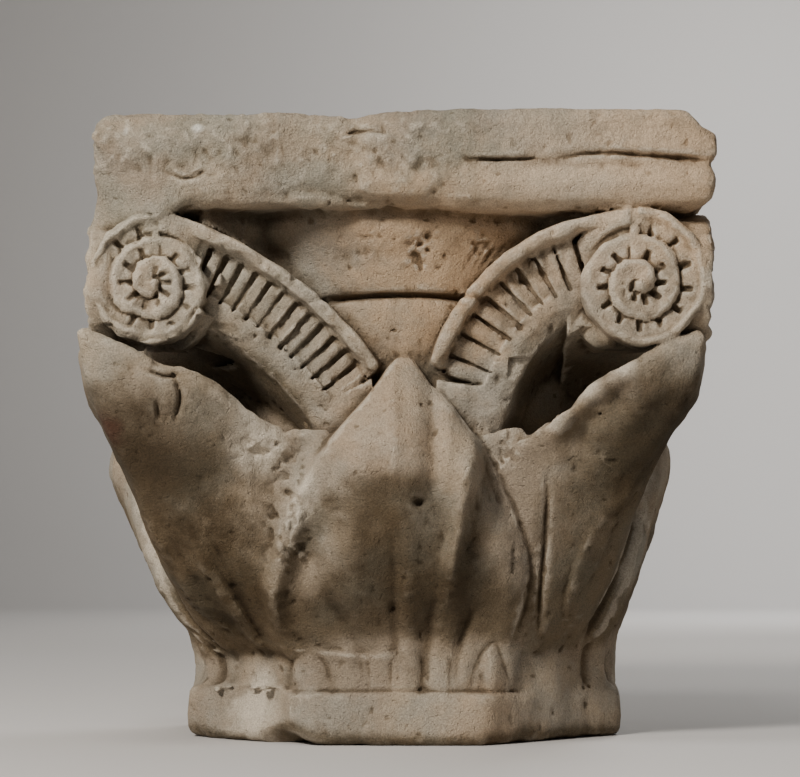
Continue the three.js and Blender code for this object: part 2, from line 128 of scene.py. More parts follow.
class Grid:
    """A box of cells around the stone, and the places of their centres along each axis."""

    def __init__(self):
        margin = BAND + 2 * CELL
        self.first = np.floor((np.array(LOW) - margin) / CELL).astype(int)
        last = np.ceil((np.array(HIGH) + margin) / CELL).astype(int)
        self.shape = tuple(last - self.first + 1)
        self.axes = [(self.first[k] + np.arange(self.shape[k])) * CELL for k in range(3)]
        self.transform = vdb.createLinearTransform(voxelSize=CELL)

    def field_of(self, points, triangles):
        """Distance to a closed surface, negative inside it, cut off at the band."""
        level_set = vdb.FloatGrid.createLevelSetFromPolygons(
            points.astype(np.float32), triangles=triangles.astype(np.uint32),
            transform=self.transform, halfWidth=BAND / CELL)
        field = np.empty(self.shape, np.float32)
        level_set.copyToArray(field, ijk=tuple(int(i) for i in self.first))
        return field

    def surface_of(self, field):
        """The points and triangles of the surface where the field is nought."""
        level_set = vdb.FloatGrid(BAND)
        level_set.transform = self.transform
        level_set.gridClass = vdb.GridClass.LEVEL_SET
        level_set.copyFromArray(field, ijk=tuple(int(i) for i in self.first))
        points, triangles, quads = level_set.convertToPolygons(isovalue=0.0, adaptivity=0.0)
        halves = np.concatenate([quads[:, [0, 1, 2]], quads[:, [0, 2, 3]]])
        return points, np.concatenate([triangles, halves])

    def read(self, values, points):
        """Values of a field at some points, from the nearest cells."""
        cells = np.rint(points / CELL).astype(int) - self.first
        cells = np.clip(cells, 0, np.array(self.shape) - 1)
        return values[cells[:, 0], cells[:, 1], cells[:, 2]]

    def facing(self, field, turn):
        """The field as seen from outside a face: across to the right, out towards the eye, up."""
        x, y, z = self.axes
        views = (
            (field, x, -y),
            (field.swapaxes(0, 1)[:, ::-1], y, x[::-1]),
            (field[::-1, ::-1], -x[::-1], y[::-1]),
            (field.swapaxes(0, 1)[::-1], -y[::-1], -x),
        )
        return (*views[turn], z)


def smooth_step(value, low, high):
    share = np.clip((value - low) / (high - low), 0.0, 1.0)
    return share * share * (3.0 - 2.0 * share)


def bell_curve(distance, width):
    return np.exp(-(distance / width) ** 2)


def blurred(field, radius):
    """A soft blur: three passes of a running mean along each axis."""
    half = max(1, int(round(radius / CELL / 1.7)))
    out = field
    for axis in range(field.ndim):
        for _ in range(3):
            pads = [(0, 0)] * field.ndim
            pads[axis] = (half + 1, half)
            total = np.cumsum(np.pad(out, pads, mode="edge"), axis=axis, dtype=np.float32)
            upper = [slice(None)] * field.ndim
            lower = [slice(None)] * field.ndim
            upper[axis] = slice(2 * half + 1, None)
            lower[axis] = slice(0, -2 * half - 1)
            out = (total[tuple(upper)] - total[tuple(lower)]) / (2 * half + 1)
    return out


def lattice_noise(axes, spacing, seed):
    """Smooth random values, about -1 to 1, that change over a spacing along each axis."""
    random = np.random.default_rng(seed)
    weights = []
    sizes = []
    for axis in axes:
        place = np.abs(axis - axis[0]) / spacing + 0.37
        base = np.floor(place).astype(int)
        share = place - base
        share = share * share * (3 - 2 * share)
        table = np.zeros((len(axis), base[-1] + 2), np.float32)
        table[np.arange(len(axis)), base] = 1 - share
        table[np.arange(len(axis)), base + 1] = share
        weights.append(table)
        sizes.append(base[-1] + 2)
    values = random.uniform(-1, 1, sizes).astype(np.float32)
    for axis, table in enumerate(weights):
        values = np.moveaxis(np.tensordot(table, values, axes=(1, axis)), 0, axis)
    return values


class Relief:
    """A map over one face, across and up, of how far its surface is cut back."""

    def __init__(self, across, up):
        self.across = across
        self.up = up
        self.cut = np.zeros((len(across), len(up)), np.float32)

    def along(self, points):
        """Distance from a smooth curve, positive on its right-hand side, and the share run along it."""
        curve = smooth_curve(np.array(points, float) * MM)
        lengths = np.hypot(*(curve[1:] - curve[:-1]).T)
        starts = np.concatenate([[0], np.cumsum(lengths)])
        near = np.full(self.cut.shape, 1.0, np.float32)
        share = np.zeros(self.cut.shape, np.float32)
        u = self.across[:, None]
        v = self.up[None, :]
        for index, (a, b) in enumerate(zip(curve[:-1], curve[1:])):
            step = (b - a) / lengths[index]
            run = np.clip((u - a[0]) * step[0] + (v - a[1]) * step[1], 0, lengths[index])
            gap_u = u - a[0] - run * step[0]
            gap_v = v - a[1] - run * step[1]
            gap = np.hypot(gap_u, gap_v)
            side = np.where(gap_u * step[1] - gap_v * step[0] >= 0, 1, -1)
            closer = gap < np.abs(near)
            near[closer] = (gap * side)[closer]
            share[closer] = ((starts[index] + run) / starts[-1])[closer]
        return near, share

    def groove(self, points, width, depth):
        """A rounded groove that runs out at both ends; a negative depth makes a ridge."""
        near, share = self.along(points)
        ends = smooth_step(share, 0, 0.3) * smooth_step(1 - share, 0, 0.3)
        self.cut += depth * MM * bell_curve(near, width * MM) * (0.12 + 0.88 * ends)

    def step(self, points, width, height, reach):
        """An edge: the surface on the curve's left stands proud, falls back over a reach, and has a
        crease at its foot."""
        near, share = self.along(points)
        near = -near
        ends = smooth_step(share, 0, 0.15) * smooth_step(1 - share, 0, 0.15)
        proud = smooth_step(near, -width * MM / 2, width * MM / 2) * np.exp(-np.abs(near) / (reach * MM))
        crease = bell_curve(near + width * MM, width * MM * 0.8)
        self.cut += height * MM * (0.55 * crease - proud) * ends

    def rough(self, place, size, depth, grain, seed):
        """An oval patch where small bits of the skin have broken out."""
        u = (self.across[:, None] - place[0] * MM) / (size[0] * MM)
        v = (self.up[None, :] - place[1] * MM) / (size[1] * MM)
        bits = lattice_noise([self.across, self.up], grain * MM, seed)
        finer = lattice_noise([self.across, self.up], grain * MM / 2, seed + 1)
        bits = smooth_step(bits + 0.5 * finer, -0.1, 0.5)
        self.cut += depth * MM * bits * np.exp(-(u * u + v * v) ** 2)

    def hollow(self, place, size, depth, tilt=0.0):
        """A soft oval hollow; a negative depth makes a swelling."""
        u = self.across[:, None] - place[0] * MM
        v = self.up[None, :] - place[1] * MM
        along = u * math.cos(tilt) + v * math.sin(tilt)
        aside = -u * math.sin(tilt) + v * math.cos(tilt)
        self.cut += depth * MM * np.exp(-(along / (size[0] * MM)) ** 2 - (aside / (size[1] * MM)) ** 2)

    def apply(self, view, out, inner):
        """Cuts the face's surface back, leaving alone what lies deeper than the inner distance."""
        keep = smooth_step(out, inner, inner + 12 * MM).astype(np.float32)
        near = np.flatnonzero(keep > 0)
        cells = slice(near[0], near[-1] + 1)
        view[:, cells] += self.cut[:, None, :] * keep[cells][None, :, None]


def smooth_curve(points, steps=8):
    """A curve through the points, with some steps between each two."""
    before = np.concatenate([[2 * points[0] - points[1]], points, [2 * points[-1] - points[-2]]])
    shares = np.linspace(0, 1, steps, endpoint=False)[:, None]
    pieces = []
    for a, b, c, d in zip(before[:-3], before[1:-2], before[2:-1], before[3:]):
        pieces.append(0.5 * (2 * b + (c - a) * shares + (2 * a - 5 * b + 4 * c - d) * shares ** 2
                             + (3 * b - a - 3 * c + d) * shares ** 3))
    return np.concatenate([*pieces, points[-1:]])


def stem_points(scroll, inset, shares):
    """Points of the stem's outer edge, moved inwards, across and up on the face."""
    foot = np.array(STEM_FOOT)
    head = np.array([scroll.centre - 4 * MM, STEM_TOP])
    along = head - foot
    normal = np.array([-along[1], along[0]]) / np.hypot(*along)
    middle = (foot + head) / 2 + normal * 2 * scroll.arch
    s = np.asarray(shares)[:, None]
    points = foot * (1 - s) ** 2 + middle * 2 * s * (1 - s) + head * s * s
    tangent = (middle - foot) * (1 - s) + (head - middle) * s
    tangent /= np.hypot(tangent[:, :1], tangent[:, 1:])
    points = points + np.stack([tangent[:, 1], -tangent[:, 0]], 1) * inset
    return points * [scroll.hand, 1]


def carve_stem(relief, scroll):
    """The two facets of the stem's rim, the tilted bands between its slots, and its lower border."""
    shares = np.linspace(0, 1, 9)
    inset, share = relief.along(stem_points(scroll, 0, shares) / MM)
    inset = inset * scroll.hand
    crest = 2.6 * MM
    rim = np.where(inset < crest, (crest - inset) * 0.55, (inset - crest) * 0.08)
    on_rim = (inset > -1 * MM) & (inset < STEM_RIM) & (share > 0.01)
    relief.cut += np.where(on_rim, rim, 0) * smooth_step(0.99 - share, 0, 0.07)
    channel = bell_curve(inset - STEM_RIM - 2 * MM, 2.2 * MM) * smooth_step(0.97 - share, 0, 0.05)
    relief.cut += np.where(share > 0.01, channel, 0) * 1.8 * MM
    border = smooth_step(inset, STEM_WIDTH - 9 * MM, STEM_WIDTH - 5 * MM)
    border *= smooth_step(STEM_WIDTH + 2 * MM - inset, 0, 3 * MM)
    border *= smooth_step(share, 0.0, 0.1) * smooth_step(0.86 - share, 0, 0.1)
    relief.cut += border * 4 * MM
    place = (share - SLOTS_FROM) / (SLOTS_TO - SLOTS_FROM) * (scroll.slots - 1)
    band = (inset > STEM_RIM) & (inset < STEM_WIDTH - 5 * MM)
    band &= (place > -0.6) & (place < scroll.slots - 0.4)
    relief.cut += np.where(band, (place - np.floor(place)) * scroll.tilt, 0)


def spiral_level(scroll, radius, turns, edge, rough, coarse, fine):
    """How far a volute's spiral stands out at each place: each turn prouder than the last, with a
    rolled edge, a hollow beside it and notches across it, all worn."""
    place = (edge - radius) / scroll.pitch
    band = np.maximum(np.floor(place), 0)
    within = (place - band) * scroll.pitch
    run = band + turns
    ringed = smooth_step(2.5 - run, 0, 0.3)
    level = np.clip(run, 0.6, 2.5) * SPIRAL_STEP
    level -= 1.4 * MM * bell_curve(within, 1.5 * MM)
    level += 1.2 * MM * bell_curve(within - 3.4 * MM, 2.2 * MM) * ringed
    lifted = (1 - smooth_step(within, 4 * MM, 7 * MM)) * (1 - smooth_step(run, 0.3, 0.7))
    level += 3.4 * MM * lifted
    level -= 1.8 * MM * bell_curve(within - scroll.pitch, 1.7 * MM) * ringed
    teeth = 13 - 3 * band
    phase = run * teeth
    tooth = np.abs(phase - np.floor(phase) - 0.5) * 2 * math.pi * np.maximum(radius, 6 * MM) / teeth
    notch = smooth_step(2.4 * MM - tooth, 0, 1.2 * MM)
    notch *= smooth_step(within, scroll.pitch - 8.4 * MM, scroll.pitch - 7 * MM)
    notch *= smooth_step(0.75 + rough + 0.5 * coarse, 0, 0.5)
    notch *= smooth_step(2.05 - run, 0, 0.15)
    level -= notch * (5.8 - 1.6 * scroll.wear) * MM
    level -= smooth_step(coarse, 0.3, 0.9) * 2.2 * MM * scroll.wear
    level += (rough * 0.6 + fine * 0.5) * MM
    return level


def carve_volute(view, across, out, up, face, scroll, seed):
    """Cuts the flat of a volute back, leaves its spiral standing and joins it to its stem."""
    reach = scroll.radius + 6 * MM
    i = np.flatnonzero(np.abs(across - scroll.hand * scroll.centre) < reach)
    k = np.flatnonzero(np.abs(up - VOLUTE_HEIGHT) < reach)
    j = np.flatnonzero((out > VOLUTE_FACE - 34 * MM) & (out < VOLUTE_FACE + face.proud + 10 * MM))
    i, j, k = (slice(found[0], found[-1] + 1) for found in (i, j, k))
    u = (across[i] - scroll.hand * scroll.centre)[:, None] * scroll.hand
    v = (up[k] - VOLUTE_HEIGHT)[None, :]
    rough = lattice_noise([across[i], up[k]], 6 * MM, seed)
    coarse = lattice_noise([across[i], up[k]], 17 * MM, seed + 1)
    fine = lattice_noise([across[i], up[k]], 2.8 * MM, seed + 2)
    radius = np.hypot(u, v) + (rough * 0.7 + coarse * 0.9) * MM * scroll.wear
    turns = (np.arctan2(u, v) / (2 * math.pi)) % 1.0
    edge = scroll.radius - scroll.pitch * turns
    level = spiral_level(scroll, radius, turns, edge, rough, coarse, fine)
    eye = bell_curve(radius, 6 * MM) * 1.5 * MM
    front = VOLUTE_FACE + face.proud - 2.5 * SPIRAL_STEP + level + eye
    depth = out[j][None, :, None]
    beyond = depth - front[:, None, :]
    outside = (radius - edge)[:, None, :]
    back = (VOLUTE_FACE - VOLUTE_DEPTH) - depth
    disc = np.maximum(np.maximum(beyond, outside), back)
    cut_back = np.maximum(view[i, j, k], np.minimum(beyond, -np.maximum(outside, back)))

    # the web between the volute's upper half and the stem, and the mitre against the next face
    from_centre = np.hypot(u, v)
    on_rim = smooth_step(from_centre, scroll.radius - 12 * MM, scroll.radius - 10 * MM)
    rise = (11 + 6 * on_rim) * MM * smooth_step(turns, 0.8, 0.97)
    web_front = VOLUTE_FACE + face.proud - 21 * MM + rise
    web_front = np.where(u > -5 * MM, VOLUTE_FACE + face.proud - 6 * MM, web_front)
    web = np.maximum(depth - web_front[:, None, :], back)
    limit = np.where(on_rim > 0.5, u - 4 * MM, u)
    limit = np.maximum(from_centre - scroll.radius + 0.5 * MM, np.maximum(-v, limit))
    web = np.maximum(web, limit[:, None, :])
    added = np.minimum(disc, web)
    mitre = np.abs(across[i])[:, None, None] - depth - 3 * MM
    view[i, j, k] = np.minimum(cut_back, np.maximum(added, mitre))


def carve_recess(view, across, out, up, relief, face, scroll):
    """Joins the stem to the bell below it with a slope that runs back under the volute."""
    inset, share = relief.along(stem_points(scroll, 0, np.linspace(-0.2, 1, 11)) / MM)
    i = np.flatnonzero((across * scroll.hand > 20 * MM) & (across * scroll.hand < 168 * MM))
    j = np.flatnonzero((out > 100 * MM) & (out < 186 * MM))
    k = np.flatnonzero((up > 176 * MM) & (up < 300 * MM))
    i, j, k = (slice(found[0], found[-1] + 1) for found in (i, j, k))
    beyond = inset[i, k] * scroll.hand - STEM_WIDTH
    u = across[i][:, None] * scroll.hand
    v = up[k][None, :]
    shelf, gentle, steep = 9 * MM, 0.4, 2.6
    slope = STEM_FACE + face.proud - STEM_LEAN * (STEM_TOP - v) - 6 * MM
    slope = slope - gentle * np.clip(beyond, 0, shelf) - steep * np.maximum(beyond - shelf, 0)
    foot = smooth_step(0.2 - share[i, k], 0, 0.06) * (beyond > -STEM_WIDTH)
    reached = np.minimum(beyond, 0) + 12 * MM + foot * STEM_WIDTH
    added = slope + 3 * MM * foot - 3 * np.maximum(2 * MM - reached, 0)
    depth = out[j][None, :, None]
    root, bottom = 104 * MM, 184 * MM
    fill = np.maximum((depth - added[:, None, :]) * 0.38, root - depth)
    fill = np.maximum(fill, (bottom - v)[:, None, :])

    # the hollow above the corner leaf, with a roof that rises towards the front
    roof_root, roof_foot, roof_rise = 118 * MM, 254 * MM, 1.6
    underside = np.maximum(slope, roof_root + (v - roof_foot) * roof_rise)
    from_volute = np.hypot(u - scroll.centre, v - VOLUTE_HEIGHT) - scroll.radius
    place = np.minimum(np.minimum(beyond, from_volute + 1 * MM), v - 247 * MM)
    cut = np.minimum((depth - underside[:, None, :]) * 0.6, place[:, None, :])
    view[i, j, k] = np.minimum(np.maximum(view[i, j, k], cut), fill)


def carve_rim(view, across, out, up):
    """The broken, wavy rim of the right-hand corner leaf."""
    rim = [(66, 191), (76, 197), (89, 204), (106, 216), (117, 231), (136, 243), (148, 247)]
    places, heights = np.array(rim).T * MM
    i = slice(*np.searchsorted(across, (places[0], places[-1])))
    j = np.flatnonzero(out > 161 * MM)
    k = np.flatnonzero((up > 190 * MM) & (up < 250 * MM))
    j, k = (slice(found[0], found[-1] + 1) for found in (j, k))
    above = up[k][None, :] - np.interp(across[i], places, heights)[:, None]
    ends = np.minimum(across[i] - places[0], places[-1] - across[i])[:, None]
    view[i, j, k] = np.maximum(view[i, j, k], np.minimum(above * 0.8, ends)[:, None, :])


def chip_neck(view, across, out, up):
    """The pale scoop broken out of the neck's upper edge, left of the front."""
    i = slice(*np.searchsorted(across, (-150 * MM, -50 * MM)))
    k = slice(*np.searchsorted(up, (0, 40 * MM)))
    u = across[i][:, None]
    along = (u + out[None, :]) / math.sqrt(2) - 5 * MM
    away = (out[None, :] - u) / math.sqrt(2)
    deepest, half_width = 10.5 * MM, 44 * MM
    depth = deepest * np.maximum(1 - (along / half_width) ** 2, 0)
    rise = smooth_step(up[k], 3 * MM, 34 * MM)
    scoop = (away - NECK_CORNER)[:, :, None] + depth[:, :, None] * rise[None, None, :]
    scoop = np.minimum(scoop * 0.9, (NECK_TOP - up[k])[None, None, :])
    scoop = np.where((depth > 0)[:, :, None], scoop, -BAND)
    view[i, :, k] = np.maximum(view[i, :, k], scoop)


def cutter_tree():
    """A tree that puts a block on every point, turned and stretched by the point's own values."""
    tree = bpy.data.node_groups.new("cuts across a stem", "GeometryNodeTree")
    face = tree.interface
    face.new_socket("Geometry", in_out="INPUT", socket_type="NodeSocketGeometry")
    for name in ("Width", "Length", "Depth"):
        face.new_socket(name, in_out="INPUT", socket_type="NodeSocketFloat")
    face.new_socket("Material", in_out="INPUT", socket_type="NodeSocketMaterial")
    face.new_socket("Geometry", in_out="OUTPUT", socket_type="NodeSocketGeometry")
    nodes = tree.nodes
    start = nodes.new("NodeGroupInput")
    end = nodes.new("NodeGroupOutput")
    size = nodes.new("ShaderNodeCombineXYZ")
    cube = nodes.new("GeometryNodeMeshCube")
    turn = nodes.new("GeometryNodeInputNamedAttribute")
    turn.data_type = "FLOAT_VECTOR"
    turn.inputs["Name"].default_value = "turn"
    stretch = nodes.new("GeometryNodeInputNamedAttribute")
    stretch.data_type = "FLOAT_VECTOR"
    stretch.inputs["Name"].default_value = "stretch"
    to_points = nodes.new("GeometryNodeMeshToPoints")
    place = nodes.new("GeometryNodeInstanceOnPoints")
    real = nodes.new("GeometryNodeRealizeInstances")
    stone = nodes.new("GeometryNodeSetMaterial")
    link = tree.links.new
    link(start.outputs["Width"], size.inputs["X"])
    link(start.outputs["Depth"], size.inputs["Y"])
    link(start.outputs["Length"], size.inputs["Z"])
    link(size.outputs["Vector"], cube.inputs["Size"])
    link(start.outputs["Geometry"], to_points.inputs["Mesh"])
    link(to_points.outputs["Points"], place.inputs["Points"])
    link(cube.outputs["Mesh"], place.inputs["Instance"])
    link(turn.outputs["Attribute"], place.inputs["Rotation"])
    link(stretch.outputs["Attribute"], place.inputs["Scale"])
    link(place.outputs["Instances"], real.inputs["Geometry"])
    link(real.outputs["Geometry"], stone.inputs["Geometry"])
    link(start.outputs["Material"], stone.inputs["Material"])
    link(stone.outputs["Geometry"], end.inputs["Geometry"])
    return tree


def cutter_mesh(tree, material, places, turns, stretches, width, length, depth):
    """The plain mesh of one block for each place."""
    mesh = bpy.data.meshes.new("cuts")
    mesh.from_pydata([tuple(place) for place in places], [], [])
    for name, values in (("turn", turns), ("stretch", stretches)):
        attribute = mesh.attributes.new(name, "FLOAT_VECTOR", "POINT")
        attribute.data.foreach_set("vector", np.asarray(values, np.float32).ravel())
    holder = bpy.data.objects.new("cuts", mesh)
    bpy.context.scene.collection.objects.link(holder)
    modifier = holder.modifiers.new("cuts", "NODES")
    modifier.node_group = tree
    values = {"Width": width, "Length": length, "Depth": depth, "Material": material}
    for item in tree.interface.items_tree:
        if item.in_out == "INPUT" and item.name in values:
            modifier[item.identifier] = values[item.name]
    evaluated = holder.evaluated_get(bpy.context.evaluated_depsgraph_get())
    result = bpy.data.meshes.new_from_object(evaluated)
    bpy.data.objects.remove(holder)
    bpy.data.meshes.remove(mesh)
    return result


def mesh_arrays(mesh):
    mesh.calc_loop_triangles()
    points = np.empty(len(mesh.vertices) * 3, np.float32)
    mesh.vertices.foreach_get("co", points)
    triangles = np.empty(len(mesh.loop_triangles) * 3, np.int32)
    mesh.loop_triangles.foreach_get("vertices", triangles)
    return points.reshape(-1, 3), triangles.reshape(-1, 3)


def cut_slots(field, grid, material):
    """Cuts the slots across every stem."""
    tree = cutter_tree()
    length, depth = 30 * MM, 12 * MM
    for face in FACES:
        turned = np.array(Euler((0, 0, face.turn * math.pi / 2)).to_matrix(), np.float32)
        for scroll in face.scrolls:
            shares = np.linspace(SLOTS_FROM, SLOTS_TO, scroll.slots)
            outer = stem_points(scroll, STEM_RIM + 1.5 * MM, shares)
            inner = stem_points(scroll, STEM_WIDTH - 7.5 * MM, shares)
            middle = (outer + inner) / 2
            across = inner - outer
            turns = [(0, math.atan2(x, z), 0) for x, z in across]
            level = STEM_FACE + face.proud - STEM_LEAN * (STEM_TOP - middle[:, 1]) - 9 * MM
            places = np.stack([middle[:, 0], -level, middle[:, 1]], 1)
            stretches = [(1, 1, run / length) for run in np.hypot(*across.T)]
            width = (2.0 + 0.35 * scroll.tilt / MM) * MM
            cuts = cutter_mesh(tree, material, places, turns, stretches, width, length, depth)
            points, triangles = mesh_arrays(cuts)
            cut_away(field, grid, points @ turned.T, triangles)
            bpy.data.meshes.remove(cuts)


def cut_away(field, grid, points, triangles):
    """Takes a closed shape away from the field, working only in the shape's own box of cells."""
    reach = 3
    level_set = vdb.FloatGrid.createLevelSetFromPolygons(
        points.astype(np.float32), triangles=triangles.astype(np.uint32),
        transform=grid.transform, halfWidth=float(reach))
    low = np.floor(points.min(0) / CELL).astype(int) - reach
    high = np.ceil(points.max(0) / CELL).astype(int) + reach
    cut = np.empty(tuple(high - low + 1), np.float32)
    level_set.copyToArray(cut, ijk=tuple(int(i) for i in low))
    part = tuple(slice(int(a), int(b) + 1) for a, b in zip(low - grid.first, high - grid.first))
    field[part] = np.maximum(field[part], -cut)


def carve_front(relief):
    """The carving, veins, hollows and breaks of the front face, in millimetres across and up."""
    # the middle leaf: its folds, the small hole, the creases between its base flutes
    relief.hollow((17, 200), (7, 38), 7.5, 0.06)
    relief.hollow((17, 150), (9, 30), 3.0, 0.1)
    relief.hollow((-30, 180), (24, 30), -4.5)
    relief.groove([(-4, 244), (-8, 222), (-6, 190), (-10, 160)], 4, -2.2)
    relief.groove([(46, 208), (40, 168), (30, 118), (22, 78)], 7, -8)
    relief.hollow((54, 150), (11, 48), 4.5, 0.12)
    relief.hollow((9, 156), (3.2, 2.6), 6)
    relief.hollow((-62, 120), (12, 28), 6, -0.35)
    relief.groove([(-8, 150), (-7, 100), (-5, 30)], 4.5, 3)
    relief.groove([(4, 140), (4, 90), (4, 30)], 5, -1.2)
    relief.groove([(-60, 112), (-40, 82), (-29, 60), (-27, 28)], 5, 3)
    relief.groove([(24, 110), (15, 70), (12, 28)], 4.5, 3)
    relief.groove([(46, 96), (35, 62), (31, 28)], 4, 3)
    relief.step([(-76, 63), (-46, 61), (-28, 59.5), (0, 61)], 2.5, -1.6, 14)
    # the edges of the middle leaf against its neighbours, and the pale band broken out on the left
    relief.step([(-4, 252), (-22, 226), (-44, 200), (-56, 182)], 3, 3.5, 22)
    band = [(-44, 206), (-55, 186), (-67, 160), (-76, 136), (-83, 110), (-83, 84), (-74, 50)]
    relief.groove(band, 7.5, -8)
    relief.groove([(-44, 178), (-52, 150), (-62, 118), (-62, 90)], 8, 3)
    relief.rough((-74, 146), (16, 48), 2.2, 5, 71)
    relief.step([(66, 52), (80, 108), (74, 140), (63, 166), (52, 190), (34, 215), (6, 252)], 2.2, 2, 22)
    # the right corner leaf: its vein, its inner curve, its shoulder and its base
    relief.groove([(92, 186), (91, 140), (88, 96), (87, 58)], 1.4, 3)
    relief.groove([(97, 186), (96, 140), (93, 96), (92, 58)], 3.5, -1.2)
    relief.groove([(140, 162), (124, 142), (112, 112), (106, 70)], 5, -1.2)
    relief.groove([(134, 158), (118, 138), (106, 108), (101, 66)], 2.4, 1.5)
    relief.groove([(120, 110), (108, 76), (98, 40)], 4, 3)
    relief.hollow((100, 212), (9, 9), -6)
    relief.groove([(78, 190), (92, 198), (106, 210), (118, 224), (138, 236), (160, 236)], 5, -3)
    relief.groove([(88, 184), (104, 194), (118, 208), (140, 221), (164, 222)], 7, 2)
    relief.rough((64, 188), (9, 12), 3, 4, 85)
    relief.hollow((112, 190), (14, 16), 1.5)
    relief.hollow((96, 46), (14, 24), -6)
    # the left corner leaf: its flutes, the short marks, the sunk place by the middle leaf, its base
    relief.groove([(-168, 166), (-138, 112), (-110, 70), (-98, 36)], 6, 2.6)
    relief.groove([(-152, 158), (-122, 108), (-99, 74), (-90, 36)], 3.5, -0.7)
    relief.groove([(-136, 160), (-112, 110), (-90, 66)], 4, 2.5)
    relief.groove([(-130, 130), (-106, 92), (-88, 58)], 2, 1.6)
    relief.groove([(-142, 132), (-116, 92), (-96, 56)], 2, -0.9)
    relief.groove([(-146, 238), (-141, 222), (-146, 204)], 1.5, 4)
    relief.groove([(-164, 240), (-150, 235), (-138, 237)], 1.5, 3)
    relief.groove([(-156, 222), (-154, 206)], 1.7, 3)
    relief.hollow((-90, 166), (17, 12), 3.2, -0.4)
    relief.groove([(-104, 212), (-98, 160), (-96, 120)], 3, -1.5)
    relief.hollow((-128, 192), (24, 30), -3)
    relief.hollow((-98, 46), (14, 24), -6)
    relief.groove([(-150, 240), (-128, 234), (-112, 218), (-98, 203), (-76, 188), (-56, 182)], 5, -2.6)
    relief.groove([(-140, 222), (-120, 212), (-104, 194), (-84, 178)], 6, 1.8)
    relief.rough((-88, 192), (26, 12), 2.6, 5, 73)
    # the collar: a dart leaf, a small rounded leaf and plain flutes
    relief.groove([(40, 30), (46, 52), (57.5, 66), (65, 50), (71, 30)], 1.8, 1.9)
    relief.groove([(56, 62), (57, 32)], 4, -3)
    relief.groove([(-78, 30), (-73, 52), (-62, 60), (-51, 52), (-47, 30)], 2, 1.6)
    relief.hollow((-62, 44), (8, 12), -1.6)
    for across in (-24, -10, 10, 28, 84):
        relief.groove([(across, 62), (across + 1, 48), (across, 32)], 1.4, 1.4)
    # the abacus: cracks, the groove's ends, and the scooped break under the roll
    relief.groove([(-42, 388), (-26, 391), (-10, 389)], 1.2, 3)
    relief.groove([(-152, 366), (-138, 361), (-124, 367)], 1.3, 3.5)
    relief.groove([(-116, 349), (-84, 351), (-58, 354), (-30, 350), (14, 347)], 3.5, 3.4)
    relief.groove([(-150, 340), (-110, 342), (-60, 346), (0, 345), (40, 343)], 4, 2.5)
    relief.hollow((26, 352), (16, 8), 4, 0.4)
    relief.rough((-70, 382), (90, 26), 1.0, 13, 81)
    relief.groove([(36, 373.5), (60, 373), (88, 374)], 1.2, 4)
    relief.groove([(88, 373), (120, 377), (150, 376), (200, 372)], 1.6, 5)
    relief.hollow((150, 392), (42, 9), 2.5)
    # the neck: the pale scoop, the arch broken out of its bed and the notch on the right
    relief.hollow((-80, 0), (15, 10), 11)
    relief.hollow((88, 0), (9, 7), 8)
    relief.rough((-80, 26), (16, 12), 1.2, 5, 83)
    relief.groove([(-110, 33.5), (0, 35.5), (110, 33)], 1.5, 1.8)


def carve_bell(relief, front):
    """The bell's groove, and on the front its chisel strokes and broken places under the abacus."""
    relief.groove([(-72, 283), (-30, 290), (-2, 291.5), (28, 290), (70, 282)], 1.7, 3.4)
    if not front:
        return
    for place in range(8):
        across = 36 + 6 * place
        relief.groove([(across, 304 + place), (across + 8, 317 + place), (across + 14, 328)], 1.2, 1.2)
    relief.rough((13, 318), (13, 15), 3.0, 4, 75)
    relief.rough((46, 324), (12, 9), 1.8, 4, 77)
    relief.rough((-26, 322), (26, 12), 1.2, 5, 79)


def carve_plain(relief, seed):
    """The other faces, plainer: the leaf's edges and veins, the flutes and the collar."""
    random = np.random.default_rng(seed)
    for side in (-1, 1):
        edge = [(4, 252), (30, 216), (54, 180), (70, 146), (80, 108), (74, 52)]
        points = [(side * u + random.uniform(-3, 3), v) for u, v in edge]
        relief.step(points if side < 0 else points[::-1], 3, 4, 26)
        relief.groove([(side * 92, 184), (side * 90, 130), (side * 86, 60)], 2.2, 3.5)
        relief.groove([(side * 152, 178), (side * 126, 118), (side * 102, 46)], 5, 3.4)
        relief.groove([(side * 32, 160), (side * 24, 90), (side * 16, 30)], 5, 3.5)
        relief.hollow((side * 98, 46), (14, 24), -6)
        relief.hollow((side * 100, 210), (10, 9), -4)
    for across in range(-96, 97, 24):
        relief.groove([(across, 70), (across + random.uniform(-2, 2), 30)], 3, 2.6)
    relief.groove([(0, 236), (2, 150), (0, 40)], 5, -3)
    for _ in range(7):
        place = (random.uniform(-150, 150), random.uniform(20, 390))
        size = (random.uniform(8, 24), random.uniform(5, 14))
        relief.rough(place, size, random.uniform(1.5, 3.5), random.uniform(4, 9), seed + 7)
    relief.hollow((random.uniform(-90, 90), 0), (14, 9), 8)


